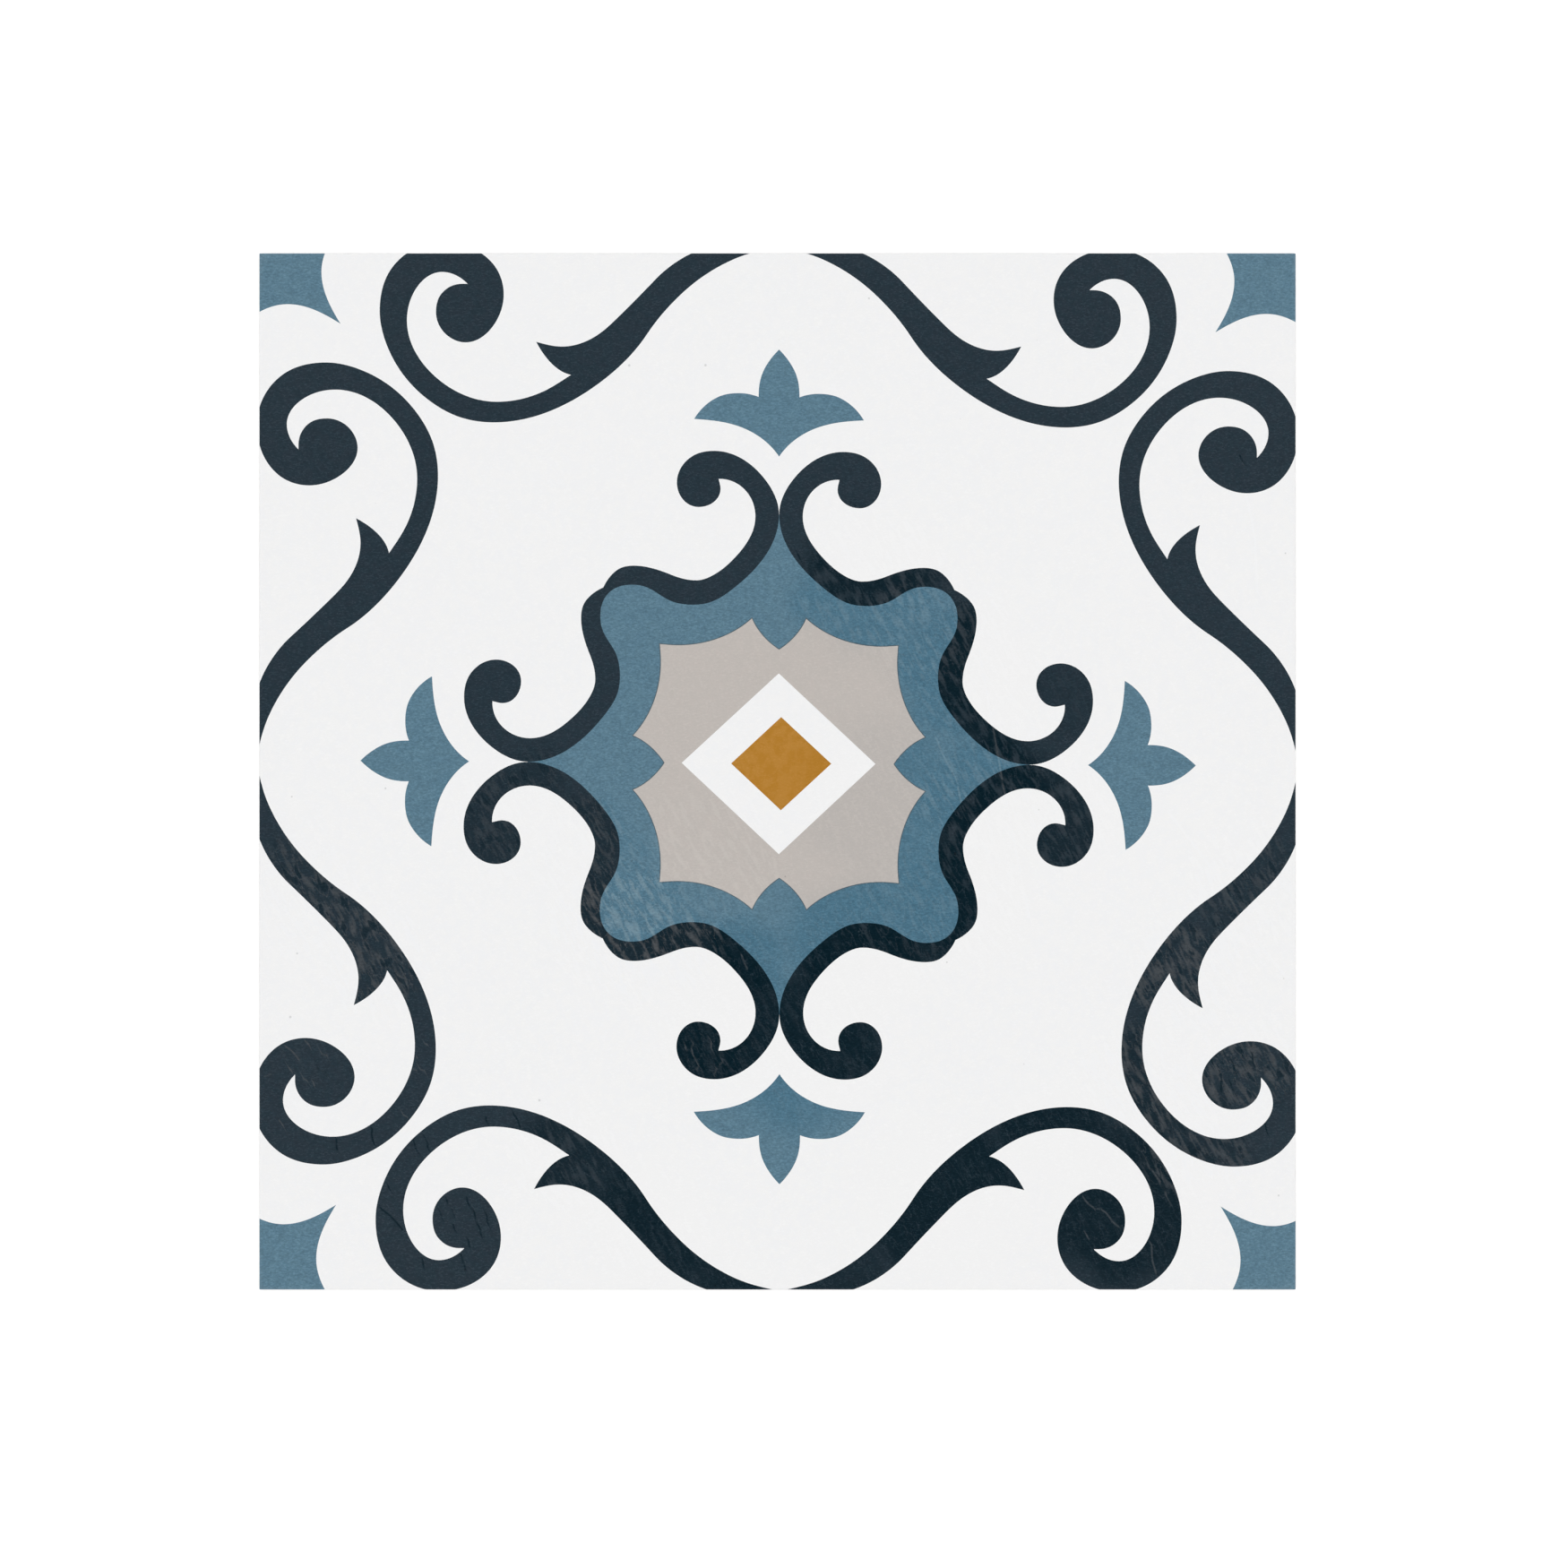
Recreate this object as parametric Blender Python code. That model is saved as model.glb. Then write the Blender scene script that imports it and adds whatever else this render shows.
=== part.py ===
"""Square vinyl floor tile, lying flat on its back with the printed face up.

The tile is one calendered sheet of filled vinyl, cut to size by a steel die. The die enters at the printed
face, so it rolls the face over a little at the cut, and it leaves the arris of the back nearly sharp.

The origin is the centre of the back, +X and +Y run along the edges and +Z points out of the printed face.
Blender units are metres.
"""

import bmesh
import bpy
from mathutils import Vector

MM = 0.001

# Sheet
TILE_WIDTH = 304.8 * MM  # along X: a 12 inch module, so the tiles butt edge to edge
TILE_LENGTH = 304.8 * MM  # along Y
TILE_THICKNESS = 1.5 * MM

# Die-cut edges
FACE_ROLL_RADIUS = 0.2 * MM  # the printed face turns down into the cut edge
FACE_ROLL_SEGMENTS = 4
CORNER_RADIUS = 0.15 * MM  # the die's four corners, seen from above
CORNER_SEGMENTS = 3
BACK_ARRIS = 0.04 * MM  # what the die breaks off the back's edge as it leaves

# Finish of the unprinted vinyl
VINYL_COLOUR = (0.86, 0.86, 0.87, 1.0)
VINYL_ROUGHNESS = 0.45


def clear_scene():
    """Removes what the open file holds, so that the script gives the same result each run."""
    for old in list(bpy.data.objects):
        bpy.data.objects.remove(old)


def vinyl_material():
    """Off-white filled vinyl with a satin skin."""
    material = bpy.data.materials.new("vinyl")
    material.use_nodes = True
    shader = material.node_tree.nodes["Principled BSDF"]
    shader.inputs["Base Color"].default_value = VINYL_COLOUR
    shader.inputs["Roughness"].default_value = VINYL_ROUGHNESS
    shader.inputs["Metallic"].default_value = 0.0
    return material


def sheet_blank(bm):
    """The sheet before its edges are worked: a rectangle extruded up from the back."""
    bmesh.ops.create_grid(bm, x_segments=1, y_segments=1, size=0.5)
    bmesh.ops.scale(bm, verts=bm.verts, vec=(TILE_WIDTH, TILE_LENGTH, 1.0))
    raised = bmesh.ops.extrude_face_region(bm, geom=list(bm.faces))
    lifted = [item for item in raised["geom"] if isinstance(item, bmesh.types.BMVert)]
    bmesh.ops.translate(bm, verts=lifted, vec=Vector((0.0, 0.0, TILE_THICKNESS)))
    bmesh.ops.recalc_face_normals(bm, faces=bm.faces)


def upright_edges(bm):
    """The short edges at the tile's corners."""
    return [e for e in bm.edges if abs(e.verts[0].co.z - e.verts[1].co.z) > TILE_THICKNESS / 2]


def edges_at(bm, height):
    """The edges that lie all along one level, such as the rim of the face or of the back."""
    near = TILE_THICKNESS / 100
    return [e for e in bm.edges if all(abs(v.co.z - height) < near for v in e.verts)]


def work_edges(bm):
    """The die's corners, the rolled rim of the face and the broken arris of the back."""
    bmesh.ops.bevel(
        bm,
        geom=upright_edges(bm),
        affect="EDGES",
        offset=CORNER_RADIUS,
        segments=CORNER_SEGMENTS,
        profile=0.5,
        material=-1,
    )
    bmesh.ops.bevel(
        bm,
        geom=edges_at(bm, TILE_THICKNESS),
        affect="EDGES",
        offset=FACE_ROLL_RADIUS,
        segments=FACE_ROLL_SEGMENTS,
        profile=0.5,
        material=-1,
    )
    bmesh.ops.bevel(
        bm,
        geom=edges_at(bm, 0.0),
        affect="EDGES",
        offset=BACK_ARRIS,
        segments=1,
        profile=0.5,
        material=-1,
    )


def vinyl_tile():
    """The whole tile, one solid."""
    bm = bmesh.new()
    sheet_blank(bm)
    work_edges(bm)
    mesh = bpy.data.meshes.new("vinyl_tile")
    bm.to_mesh(mesh)
    bm.free()
    mesh.materials.append(vinyl_material())
    tile = bpy.data.objects.new("vinyl_tile", mesh)
    bpy.context.scene.collection.objects.link(tile)
    return tile


clear_scene()
vinyl_tile()
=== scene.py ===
"""Looks of a printed vinyl floor tile, seen from straight above on a pale floor.

The tile is one pressed sheet. Its printed skin is divided along the borders of the inks, rolls over at the
die-cut rim and carries on down into the cut edge and the flat back. The plan of the sheet and its print is
in millimetres, and the settings, the mesh and the shaders are in metres.
"""

import math
import random

import bmesh
import bpy
from mathutils import Matrix, Vector, kdtree, noise
from mathutils.geometry import delaunay_2d_cdt


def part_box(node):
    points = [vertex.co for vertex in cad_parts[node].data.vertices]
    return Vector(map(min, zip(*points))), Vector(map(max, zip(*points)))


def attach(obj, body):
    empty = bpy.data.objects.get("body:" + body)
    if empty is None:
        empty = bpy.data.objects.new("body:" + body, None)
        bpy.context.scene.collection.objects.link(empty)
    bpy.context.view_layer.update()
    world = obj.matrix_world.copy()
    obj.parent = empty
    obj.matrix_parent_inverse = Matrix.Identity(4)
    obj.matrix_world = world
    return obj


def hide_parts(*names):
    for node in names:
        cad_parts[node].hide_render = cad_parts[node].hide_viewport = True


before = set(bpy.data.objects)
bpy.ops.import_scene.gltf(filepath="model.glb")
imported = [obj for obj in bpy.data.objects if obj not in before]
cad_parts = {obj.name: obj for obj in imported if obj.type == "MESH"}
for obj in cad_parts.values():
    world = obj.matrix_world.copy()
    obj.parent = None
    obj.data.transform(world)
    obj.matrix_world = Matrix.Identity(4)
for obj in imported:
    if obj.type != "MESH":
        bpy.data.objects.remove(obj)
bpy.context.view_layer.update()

bl_info = {
    "name": "Printed Vinyl Floor Tile",
    "version": (1, 0, 0),
    "blender": (4, 5, 0),
    "location": "View3D > Sidebar > Tile",
    "description": "Builds a scroll-printed, slate-embossed vinyl floor tile and the stage it is shown on",
    "category": "Object",
}

MM = 0.001
TILE_NODE = "vinyl_tile"

# The sheet has the size of the solid it stands for, and the same worked edges, in millimetres.
SHEET_LOW, SHEET_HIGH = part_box(TILE_NODE)
SHEET_HALF = (SHEET_HIGH.x - SHEET_LOW.x) / 2 / MM
SHEET_TOP = SHEET_HIGH.z / MM
FACE_ROLL = 0.2
FACE_ROLL_STEPS = 4
CORNER_RADIUS = 0.15
CORNER_STEPS = 3
BACK_ARRIS = 0.04

# How far inside the tile's edge the slate relief has its full depth, in millimetres.
RELIEF_MARGIN = 1.0

# Points of an outline that are nearer to one another than this, in millimetres, are taken for one.
SAME_PLACE = 1e-4

# One eighth of the ornament, in millimetres from its middle, between the +X axis and the diagonal.
# A knot is x, y and the heading of the line in degrees. Where the line turns a corner it has two headings,
# the one that it arrives with and the one that it leaves with.
BLUE_FIELD_EDGE = (
    (73.7, 0.1, 180),
    (52.1, 13.0, 129),
    (47.7, 19.9, 111),
    (46.8, 25.4, 90),
    (48.6, 33.3, 60),
    (51.7, 38.5, 66),
    (52.6, 43.3, 90),
    (50.1, 50.1, 135),
)
SCROLL_OUTSIDE = (
    (51.6, 51.6, -24),
    (56.7, 47.7, -53),
    (58.1, 42.7, -90),
    (55.6, 32.0, -112),
    (53.9, 24.5, -90),
    (56.0, 18.5, -58),
    (60.6, 13.1, -43),
    (73.1, 6.9, 0),
    (84.2, 17.9, 93, 192),
    (81.2, 17.3, 180),
    (75.8, 23.7, 90),
    (82.7, 30.0, 2),
    (90.7, 25.6, -57),
    (92.4, 19.0, -90),
    (84.2, 4.3, -142),
    (73.7, 0.1, 180),
)
VINE = (
    (153.5, 0.0, 101),
    (149.8, 13.1, 114),
    (139.1, 28.9, 134),
    (127.0, 39.0, 147),
    (112.6, 52.7, 127.5),
    (100.4, 84.3, 90),
    (103.0, 96.8, 65),
    (108.7, 105.4, 49),
    (125.4, 116.3, 17.5),
    (133.2, 117.6, 0),
    (146.3, 113.8, -37),
    (153.7, 99.0, -90),
    (147.5, 84.4, -140),
    (138.4, 81.2, 180),
    (128.9, 84.4, 144),
    (124.1, 92.4, 90),
    (125.6, 97.0, 56),
    (133.0, 101.0, 0),
    (137.9, 99.8, -33),
    (141.4, 93.3, -90),
    (141.4, 91.6, -88, 44),
    (145.0, 99.2, 90),
    (139.5, 107.3, 149.5),
    (130.5, 109.7, 180),
    (113.3, 100.8, 229.5),
    (106.4, 83.3, 270),
    (110.0, 68.6, -63),
    (114.7, 61.1, -57, 80),
    (118.3, 67.2, 44),
    (124.3, 71.4, 28, -105),
    (123.0, 64.1, -90),
    (127.1, 52.7, -53.5),
    (131.8, 47.5, -45),
    (143.4, 36.3, -43),
    (149.8, 28.3, -59),
    (155.0, 14.5, -75),
)
FLEURON_HALF = (
    (90.9, 0.0, 33),
    (99.3, 10.5, 67.5),
    (101.9, 25.0, 87, -30),
    (108.4, 18.2, -63),
    (109.7, 11.7, -90),
    (108.6, 6.0, -112, 1),
    (115.7, 4.9, -22),
    (122.8, 0.0, -45),
)
CORNER_HALF = (
    (129.2, 129.2, 32),
    (144.7, 134.9, 0),
    (155.4, 131.2, -33),
)
STAR_EDGE = (
    (33.6, 0.0, 57),
    (42.8, 8.0, 23, 133),
    (38.3, 14.5, 117),
    (34.7, 29.8, 90),
    (35.0, 35.0, 86),
)

# The corner pieces run on past the edges of the tile, as far as this point.
BEYOND_TILE = (165.0, 165.0)

# The two lozenges in the middle are drawn whole, because the film shows them a little uneven.
WHITE_LOZENGE = ((28.3, 0.0), (-0.1, 26.6), (-28.6, 0.0), (-0.1, -26.7))
OCHRE_LOZENGE = ((15.3, 0.0), (0.6, 13.7), (-14.1, -0.1), (0.5, -13.8))

# Patches of the face, in millimetres from the middle of the tile: x and y, radius, and from 0 to 1 how deep
# the press bit, how far the ink's painted sheen is left off, which darkens it, and how strong the painted
# highlight on the ridges is.
PATCHES = (
    (28, 54, 27, 0.75, 0.85, 0.0),
    (56, 29, 26, 0.65, 0.95, 0.0),
    (61, -8, 25, 0.75, 1.0, 0.0),
    (55, -37, 26, 0.5, 1.0, 0.0),
    (23, -52, 27, 0.2, 1.0, 0.0),
    (8, -82, 29, 0.3, 0.9, 0.0),
    (-10, -56, 16, 0.2, 1.0, 0.0),
    (-28, -52, 14, 1.0, 0.75, 0.6),
    (-46, -46, 24, 1.0, 0.55, 0.8),
    (-57, -22, 20, 0.6, 0.4, 0.4),
    (-78, -14, 24, 0.5, 0.35, 0.25),
    (85, -14, 20, 0.7, 0.65, 0.1),
    (82, 23, 16, 0.4, 0.2, 0.0),
    (-138, -38, 24, 0.6, 0.15, 0.6),
    (-118, -54, 22, 0.7, 0.15, 0.6),
    (-139, -88, 20, 0.3, 0.0, 0.1),
    (-62, -114, 20, 0.6, 0.7, 0.1),
    (-38, -134, 26, 0.3, 0.9, 0.0),
    (18, -148, 20, 0.15, 0.6, 0.0),
    (48, -126, 32, 0.15, 0.9, 0.0),
    (104, -128, 31, 0.2, 0.9, 0.0),
    (108, -90, 20, 1.0, 0.6, 0.5),
    (122, -108, 20, 0.9, 0.4, 0.4),
    (120, -60, 20, 1.0, 0.3, 0.55),
    (140, -36, 24, 0.7, 0.2, 0.3),
    (138, -86, 18, 0.7, 0.15, 0.55),
    (-116, 113, 24, 0.2, 0.0, 0.1),
    (-20, -26, 26, 0.5, 0.0, 0.3),
    (32, -8, 30, 0.3, 0.8, 0.1),
    (36, -44, 20, 0.4, 0.8, 0.1),
    (45, 43, 20, 0.6, 0.3, 0.2),
    (-20, -78, 20, 0.3, 1.0, 0.1),
    (80, -106, 20, 0.15, 0.9, 0.0),
    (-12, -151, 16, 0.15, 0.8, 0.0),
)

# Creases, where the film is folded up and painted pale as a highlight, nicks, where it is bitten in and
# painted dark with its sheen left off, and flecks, short marks painted pale in the ridges' highlight colour:
# the points of each line, in millimetres from the middle of the tile.
CREASES = (
    (
        (89.8, -125.2),
        (91.2, -127.0),
        (93.2, -128.5),
        (95.2, -128.8),
        (96.8, -129.9),
        (98.5, -132.4),
        (100.9, -134.5),
    ),
    ((90.1, -135.2), (91.0, -136.6), (91.5, -137.8)),
    ((110.0, -139.1), (110.2, -143.8), (111.6, -148.4)),
    ((110.0, -117.0), (112.3, -120.4), (114.0, -122.8), (114.3, -125.0)),
    ((115.0, -12.0), (129.0, -30.0), (138.0, -46.0), (150.0, -61.0)),
    ((138.0, 81.0), (140.5, 68.0), (141.0, 53.0)),
    ((59.0, 38.0), (66.0, -2.0), (74.0, -43.0)),
    ((46.6, 10.0), (49.0, 4.0), (52.5, -2.0), (54.0, -9.0)),
    ((-46.0, -62.0), (-41.0, -60.5), (-38.5, -57.5)),
    ((-10.6, -53.8), (-9.8, -56.2), (-8.9, -58.0)),
)
NICKS = (
    ((-97.3, -125.6), (-97.1, -127.0)),
    ((-91.4, -125.2), (-91.0, -127.2)),
    ((-99.2, -129.2), (-98.8, -131.4)),
    ((-95.2, -129.6), (-95.1, -130.8)),
    ((-89.2, -129.2), (-89.0, -130.8)),
    ((-88.8, -131.6), (-88.1, -133.6)),
    ((-85.5, -130.2), (-85.2, -133.0)),
    ((-95.3, -133.2), (-95.1, -134.6)),
    ((-87.5, -134.0), (-87.2, -136.4)),
    ((-90.9, -137.6), (-90.6, -139.9)),
    ((-93.0, -142.0), (-92.5, -144.2), (-91.8, -146.4)),
    ((-104.4, -143.4), (-104.1, -145.8)),
    ((-65.2, -115.3), (-64.0, -118.0), (-62.5, -120.6)),
    ((130.0, -88.0), (130.6, -90.6), (130.4, -94.0)),
    ((127.4, -84.0), (128.2, -86.4)),
    ((134.0, -85.6), (134.5, -88.4)),
    ((136.4, -81.6), (136.8, -84.6)),
    ((139.6, -83.0), (139.9, -86.2)),
    ((133.2, -91.4), (133.8, -93.6)),
    ((143.4, -103.6), (144.0, -106.4)),
    ((136.0, 93.0), (136.8, 91.0)),
    ((6.1, 63.9), (6.5, 62.5)),
    ((-129.7, -108.1), (-129.6, -111.1)),
    ((-119.2, -105.1), (-119.4, -106.8), (-118.8, -109.4)),
    ((-107.0, -108.4), (-106.2, -111.4)),
    ((-102.9, -109.1), (-102.9, -110.7)),
    ((-85.7, -101.5), (-85.7, -102.7)),
    ((-77.8, -100.5), (-76.5, -102.2), (-75.8, -104.5)),
    ((-114.5, -121.6), (-114.2, -122.8)),
    ((-116.7, -128.5), (-113.7, -130.8), (-110.2, -134.8)),
)
FLECKS = (
    ((-103.7, -80.1), (-102.9, -80.4)),
    ((-106.2, -83.7), (-105.9, -84.4)),
    ((-107.0, -87.7), (-106.2, -87.9)),
    ((-105.0, -87.7), (-103.9, -88.0)),
    ((-110.1, -101.0), (-108.8, -101.7)),
    ((-144.7, -80.9), (-142.8, -82.2), (-140.6, -84.9)),
    ((-139.1, -79.1), (-137.6, -80.6)),
    ((-133.9, -83.2), (-132.7, -83.4)),
    ((-135.5, -86.7), (-134.5, -88.0), (-133.2, -88.3)),
    ((-139.5, -90.2), (-138.3, -91.0)),
    ((-136.5, -91.3), (-136.2, -92.6)),
    ((-143.9, -87.0), (-142.8, -88.2)),
    ((-150.8, -89.7), (-149.0, -89.0)),
    ((-146.9, -102.2), (-145.4, -104.0)),
    ((-24.8, -80.1), (-25.3, -81.4), (-24.9, -83.4)),
    ((-27.0, -80.8), (-27.0, -81.8)),
    ((-19.5, -79.4), (-19.5, -81.4)),
    ((-16.2, -85.4), (-17.9, -87.5), (-18.7, -89.3)),
    ((-23.2, -86.7), (-23.8, -87.7)),
)
MARKS = CREASES + NICKS + FLECKS

# In millimetres: the steps along a mark's line, how far beside the line the mark has its full strength, and
# how far out it has faded away.
MARK_STEP = 0.4
MARK_CORE = 0.1
MARK_REACH = 0.5
FLECK_REACH = 0.45

INKS = ("ground", "slate_blue", "overlap", "warm_grey", "ochre", "navy")
CUT_EDGE = len(INKS)
FLAT_BACK = len(INKS) + 1


def srgb(red, green, blue):
    """A colour as a screen shows it, from 0 to 255, made the linear colour that a shader takes."""
    linear = []
    for value in (red, green, blue):
        share = value / 255
        linear.append(share / 12.92 if share <= 0.04045 else ((share + 0.055) / 1.055) ** 2.4)
    return tuple(linear)


def ink_property(name, description, colour):
    """A colour property with this default."""
    return bpy.props.FloatVectorProperty(
        name=name,
        description=description,
        size=3,
        default=colour,
        subtype="COLOR",
        min=0.0,
        max=1.0,
    )


class PrintSettings(bpy.types.PropertyGroup):
    """The inks of the film, and how it lies on the sheet."""

    centre: bpy.props.FloatVectorProperty(
        name="Centre",
        description="Where the middle of the ornament lies, from the middle of the tile",
        size=2,
        default=(0.485 * MM, 2.353 * MM),
        subtype="XYZ",
        unit="LENGTH",
        precision=5,
    )
    stretch: bpy.props.FloatVectorProperty(
        name="Stretch",
        description="Length of the film against its drawing, along X and along Y",
        size=2,
        default=(1.0010, 0.9989),
        precision=4,
    )
    skew: bpy.props.FloatVectorProperty(
        name="Skew",
        description="How far upright lines lean toward +X and level lines rise, for each unit of length",
        size=2,
        default=(-0.0005, -0.0059),
        precision=4,
    )
    draw_x: bpy.props.FloatVectorProperty(
        name="Draw Along X",
        description="Shift along X at 100 mm that grows with x times y, with x squared and with y squared",
        size=3,
        default=(-0.427 * MM, -0.205 * MM, 0.03 * MM),
        unit="LENGTH",
        precision=5,
    )
    draw_y: bpy.props.FloatVectorProperty(
        name="Draw Along Y",
        description="Shift along Y at 100 mm that grows with x times y, with x squared and with y squared",
        size=3,
        default=(-0.30 * MM, 0.08 * MM, -0.68 * MM),
        unit="LENGTH",
        precision=5,
    )
    creep: bpy.props.FloatProperty(
        name="Creep",
        description="Shift at 100 mm of a film drawn out along X and in along Y, less toward the edges",
        default=0.11 * MM,
        unit="LENGTH",
        precision=5,
    )
    navy_spread: bpy.props.FloatProperty(
        name="Navy Spread",
        description="How far the navy ink ran out over its outline",
        default=0.07 * MM,
        unit="LENGTH",
        precision=5,
    )
    overlap_width: bpy.props.FloatProperty(
        name="Overlap Width",
        description="Width of the dark line where the warm grey ink runs under the blue",
        default=0.28 * MM,
        min=0.0,
        unit="LENGTH",
        precision=5,
    )
    outline_step: bpy.props.FloatProperty(
        name="Outline Step",
        description="Length of the straight steps that draw the ornament's curves",
        default=0.8 * MM,
        min=0.1 * MM,
        unit="LENGTH",
        precision=5,
    )
    ground: ink_property("Ground", "Near-white ground of the film", srgb(240, 240, 240))
    slate_blue: ink_property("Slate Blue", "Ink of the medallion, fleurons and corners", srgb(91, 123, 140))
    overlap: ink_property("Overlap", "Warm grey and blue over one another", srgb(84, 100, 108))
    warm_grey: ink_property("Warm Grey", "Ink of the star in the middle", srgb(188, 182, 177))
    ochre: ink_property("Ochre", "Ink of the small lozenge", srgb(175, 122, 45))
    navy: ink_property("Navy", "Ink of the scrolls and vines", srgb(37, 51, 60))


class ReliefSettings(bpy.types.PropertyGroup):
    """The slate relief that the press leaves in the face."""

    depth: bpy.props.FloatProperty(
        name="Depth",
        description="Depth of the hollows between the slate's ridges, where the press bit deepest",
        default=0.06 * MM,
        min=0.0,
        unit="LENGTH",
        precision=6,
    )
    lean: bpy.props.FloatProperty(
        name="Lean",
        description="How far the slate's ridges lean to the left of the Y axis",
        default=math.radians(28),
        subtype="ANGLE",
    )
    ridge_length: bpy.props.FloatProperty(
        name="Ridge Length",
        description="Usual length of a ridge",
        default=7.0 * MM,
        min=1.0 * MM,
        unit="LENGTH",
    )
    ridge_spacing: bpy.props.FloatProperty(
        name="Ridge Spacing",
        description="Usual distance between ridges",
        default=2.1 * MM,
        min=0.5 * MM,
        unit="LENGTH",
    )
    roughness: bpy.props.FloatProperty(
        name="Roughness",
        description="Sheen of the wear layer, from 0, polished, to 1, dull",
        default=0.25,
        min=0.0,
        max=1.0,
        subtype="FACTOR",
    )


class BodySettings(bpy.types.PropertyGroup):
    """The vinyl under the film."""

    core: ink_property("Core", "Filled vinyl that the cut edge shows", srgb(216, 213, 208))
    wear_layer: ink_property("Wear Layer", "Clear skin and film, seen from the edge", srgb(186, 188, 190))
    backing: ink_property("Backing", "Vinyl of the flat back", srgb(221, 220, 216))
    film_height: bpy.props.FloatProperty(
        name="Film Height",
        description="Height of the film above the back, seen in the cut edge",
        default=1.22 * MM,
        unit="LENGTH",
        precision=5,
    )


class StageSettings(bpy.types.PropertyGroup):
    """Floor, lamps and camera."""

    view_width: bpy.props.FloatProperty(
        name="View Width",
        description="Width of what the camera takes in at the height of the print",
        default=461.15 * MM,
        unit="LENGTH",
    )
    aim: bpy.props.FloatVectorProperty(
        name="Aim",
        description="Point of the tile in the middle of the view",
        size=2,
        default=(1.91 * MM, -3.69 * MM),
        subtype="XYZ",
        unit="LENGTH",
        precision=5,
    )
    lens: bpy.props.FloatProperty(
        name="Lens",
        description="Focal length in millimetres, on a sensor 36 mm wide",
        default=85.0,
        min=20.0,
    )
    lamp_power: bpy.props.FloatProperty(
        name="Lamp Power",
        description="Power of each of the four softboxes",
        default=18.5,
        min=0.0,
        unit="POWER",
    )
    lamp_size: bpy.props.FloatProperty(
        name="Lamp Size",
        description="Width and height of each softbox",
        default=1.5,
        min=0.1,
        unit="LENGTH",
    )
    lamp_distance: bpy.props.FloatProperty(
        name="Lamp Distance",
        description="How far each softbox hangs to the side of the tile's middle",
        default=1.5,
        unit="LENGTH",
    )
    lamp_height: bpy.props.FloatProperty(
        name="Lamp Height",
        description="How high each softbox hangs above the tile's back",
        default=1.6,
        unit="LENGTH",
    )
    room_light: bpy.props.FloatProperty(
        name="Room Light",
        description="Strength of the even light from the room",
        default=0.05,
        min=0.0,
    )
    floor_width: bpy.props.FloatProperty(
        name="Floor Width",
        description="Width and length of the floor",
        default=2.4,
        min=0.5,
        unit="LENGTH",
    )
    floor_glow: bpy.props.FloatProperty(
        name="Floor Glow",
        description="Light that the camera alone sees the floor give off, so that it looks white",
        default=0.4,
        min=0.0,
    )
    floor: ink_property("Floor", "Colour of the floor", (0.8, 0.8, 0.8))


def tempo(leaving, arriving):
    """How far a handle reaches, as a share of the chord that the line leaves and meets at these angles."""
    near = math.sin(leaving) - math.sin(arriving) / 16
    far = math.sin(arriving) - math.sin(leaving) / 16
    lean = math.sqrt(2) * near * far * (math.cos(leaving) - math.cos(arriving))
    spread = 1 + (math.sqrt(5) - 1) / 2 * math.cos(leaving) + (3 - math.sqrt(5)) / 2 * math.cos(arriving)
    return (2 + lean) / (3 * spread)


def half_turn(angle):
    """The same angle, between minus and plus half a turn."""
    return (angle + math.pi) % (2 * math.pi) - math.pi


def heading(angle):
    """The direction of an angle."""
    return Vector((math.cos(angle), math.sin(angle)))


def stroke(knots, step):
    """Points along the smooth line through the knots, about a step apart, with both ends."""
    points = []
    for here, there in zip(knots[:-1], knots[1:]):
        start = Vector(here[:2])
        end = Vector(there[:2])
        leaving = math.radians(here[-1])
        arriving = math.radians(there[2])
        chord = end - start
        course = math.atan2(chord.y, chord.x)
        turn_out = half_turn(leaving - course)
        turn_in = half_turn(course - arriving)
        after = start + tempo(turn_out, turn_in) * chord.length * heading(leaving)
        before = end - tempo(turn_in, turn_out) * chord.length * heading(arriving)
        steps = max(2, round(chord.length / step))
        for index in range(steps):
            t = index / steps
            s = 1 - t
            points.append(s**3 * start + 3 * s * s * t * after + 3 * s * t * t * before + t**3 * end)
    points.append(Vector(knots[-1][:2]))
    return points


def swapped(points):
    """The mirror image in the ornament's diagonal, run the other way."""
    return [Vector((p.y, p.x)) for p in reversed(points)]


def four(points):
    """The line and its three copies, each a quarter turn on."""
    return [[Matrix.Rotation(math.radians(90 * turn), 2) @ p for p in points] for turn in range(4)]


def eight(points):
    """The line, its mirror image, and the turned copies of both."""
    return four(points) + four(swapped(points))


def closed(outline):
    """The outline without the points that lie on the one before."""
    return [point for index, point in enumerate(outline) if (point - outline[index - 1]).length > SAME_PLACE]


def all_round(eighth):
    """One closed outline, from the eighth of it that runs from the +X axis to the diagonal."""
    return closed([point for side in four(eighth + swapped(eighth)) for point in side])


def anticlockwise(outline):
    """The outline, run the other way if it goes clockwise."""
    area = sum(outline[index - 1].cross(point) for index, point in enumerate(outline))
    return outline if area > 0 else outline[::-1]


def widened(outline, distance):
    """The anticlockwise outline, moved out by a distance all along."""
    # Where the cosine of half the outline's bend is smaller than this, its point is drawn out no further.
    least_cosine = 0.3
    moved = []
    for index, point in enumerate(outline):
        before = (point - outline[index - 1]).normalized()
        after = (outline[(index + 1) % len(outline)] - point).normalized()
        along = (before + after).normalized()
        reach = distance / max(along.dot(after), least_cosine)
        moved.append(point + reach * Vector((along.y, -along.x)))
    return moved


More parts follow.
